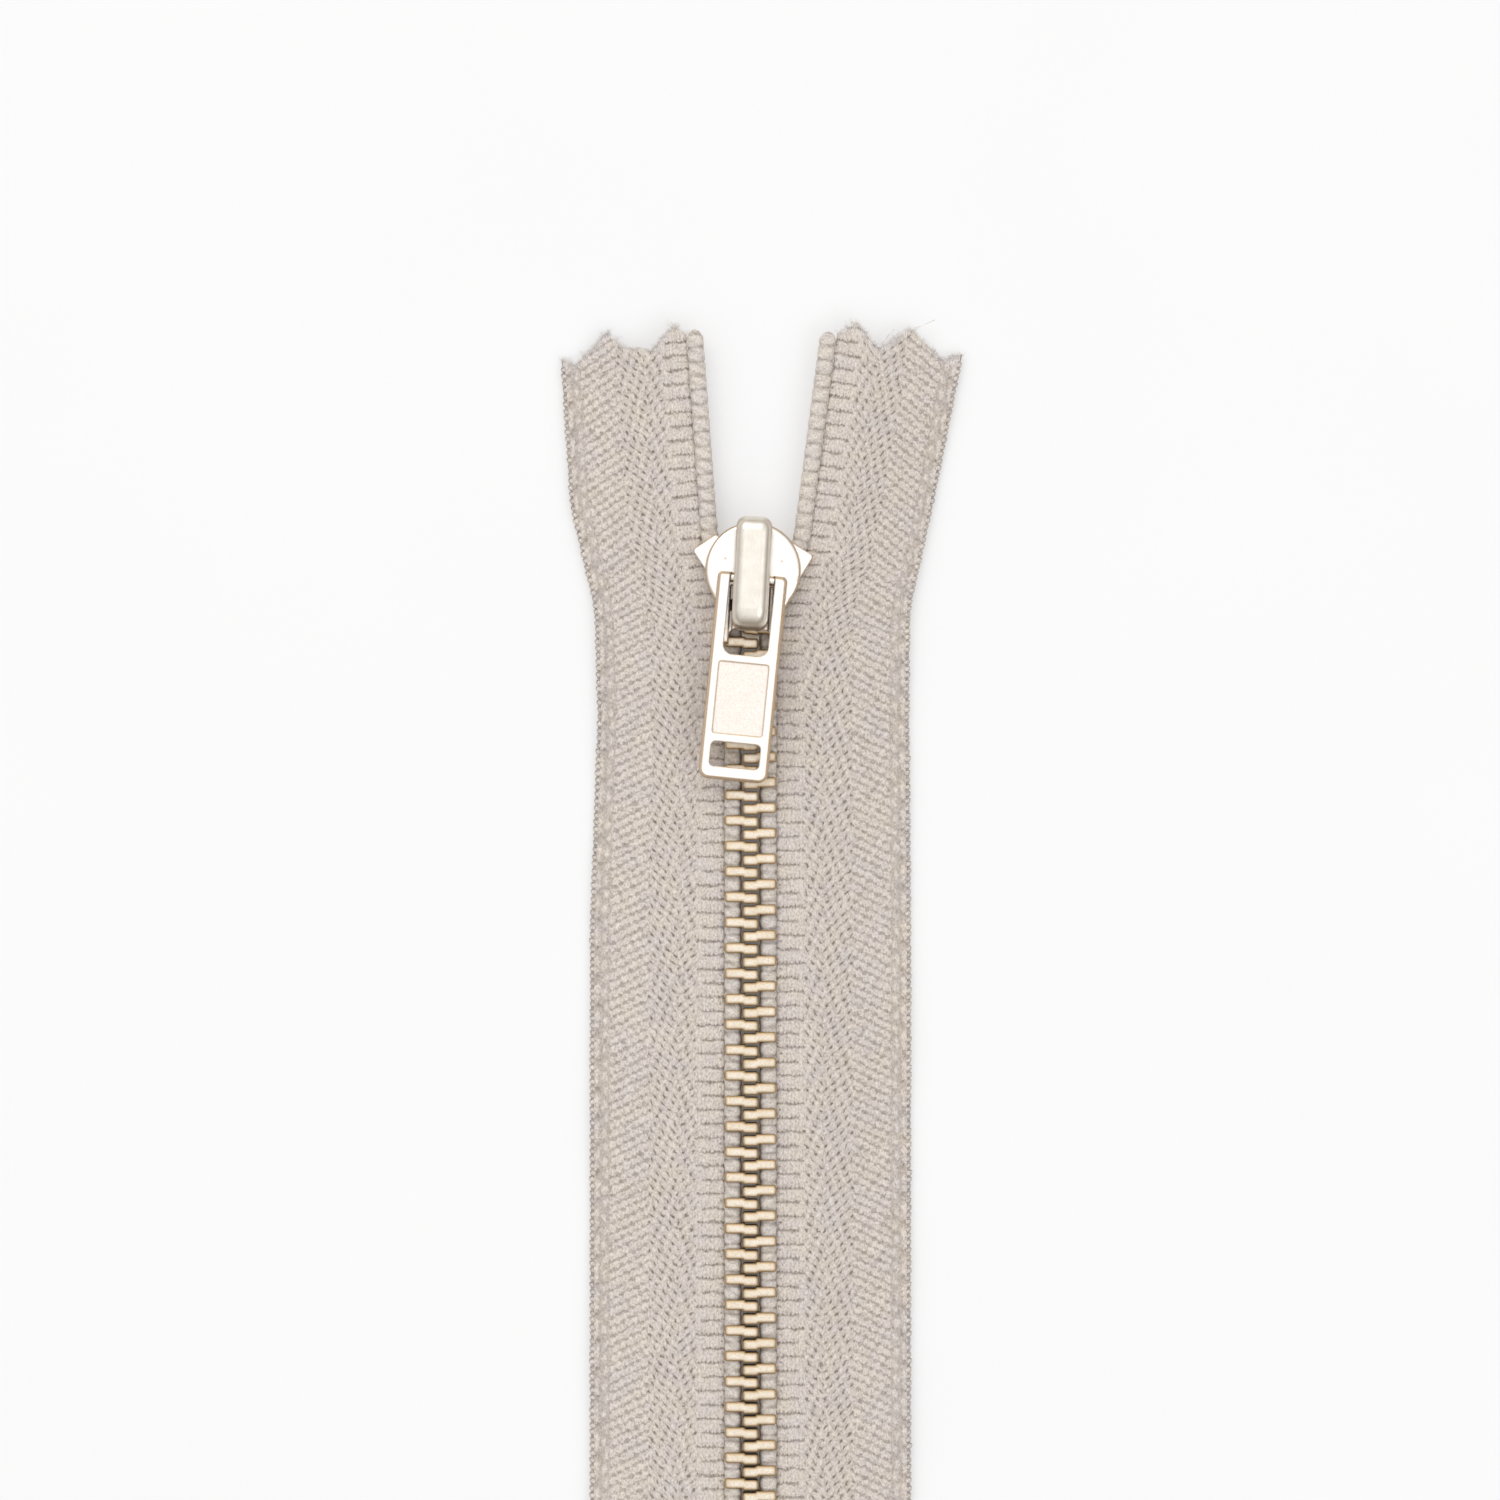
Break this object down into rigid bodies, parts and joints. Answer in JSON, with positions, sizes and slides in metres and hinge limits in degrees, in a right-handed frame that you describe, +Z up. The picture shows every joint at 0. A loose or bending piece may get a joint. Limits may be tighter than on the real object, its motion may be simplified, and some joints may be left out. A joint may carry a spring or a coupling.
{
  "type": "metal zipper",
  "caption": "Closed-end metal zipper with woven tapes, interlocking teeth and an auto-lock slider with a slotted pull tab.",
  "frame": {"origin": "on the surface the zipper lies on, under the middle of its bounding box", "axes": "+X across the tapes, to the right of the slider's face; +Y along the chain to the top end; +Z up out of the slider's face"},
  "size_m": [0.0342, 0.1906, 0.007],
  "materials": {
    "bottom_stop": "satin",
    "tape_left": "woven",
    "bead_cord_left": "woven",
    "teeth_left": "satin",
    "top_stop_left": "polished",
    "tape_right": "woven",
    "bead_cord_right": "woven",
    "teeth_right": "satin",
    "top_stop_right": "polished",
    "slider_body": "polished",
    "slider_crown": "satin",
    "lock_spring": "satin",
    "pull_tab": "polished"
  },
  "bodies": {
    "anchor": {"bottom_stop": "bottom_stop"},
    "half_left": {"tape_left": "tape_left", "bead_cord_left": "bead_cord_left", "teeth_left": "teeth_left", "top_stop_left": "top_stop_left"},
    "half_right": {"tape_right": "tape_right", "bead_cord_right": "bead_cord_right", "teeth_right": "teeth_right", "top_stop_right": "top_stop_right"},
    "slider": {"slider_body": "slider_body", "slider_crown": "slider_crown"},
    "lock": {"lock_spring": "lock_spring"},
    "puller": {"pull_tab": "pull_tab"}
  },
  "joints": [
    {"name": "slider_travel", "type": "slide", "parent": "anchor", "child": "slider", "axis": [0, -1, 0], "range_m": [0, 0.1375], "deforming": ["tape_left", "tape_right", "bead_cord_left", "bead_cord_right", "teeth_left", "teeth_right"]},
    {"name": "left_spread", "type": "hinge", "parent": "anchor", "child": "half_left", "pos_m": [-0.00097, -0.08803, 0.00205], "axis": [0, 0, 1], "range_deg": [0, 5]},
    {"name": "right_spread", "type": "hinge", "parent": "anchor", "child": "half_right", "pos_m": [-0.00097, -0.08803, 0.00205], "axis": [0, 0, -1], "range_deg": [0, 5]},
    {"name": "pull_swing", "type": "hinge", "parent": "slider", "child": "puller", "pos_m": [-0.00081, 0.07352, 0.00477], "axis": [-0.9951, 0.0993, 0], "range_deg": [0, 180]},
    {"name": "lock_lift", "type": "hinge", "parent": "slider", "child": "lock", "pos_m": [-0.00061, 0.07716, 0.0041], "axis": [-0.9986, 0.0523, 0], "range_deg": [0, 4]}
  ],
  "couplings": [
    {"joint": "left_spread", "follows": "slider_travel", "rad_per_m": 0.6346},
    {"joint": "right_spread", "follows": "slider_travel", "rad_per_m": 0.6346},
    {"joint": "lock_lift", "follows": "pull_swing", "ratio": 0.0222}
  ]
}
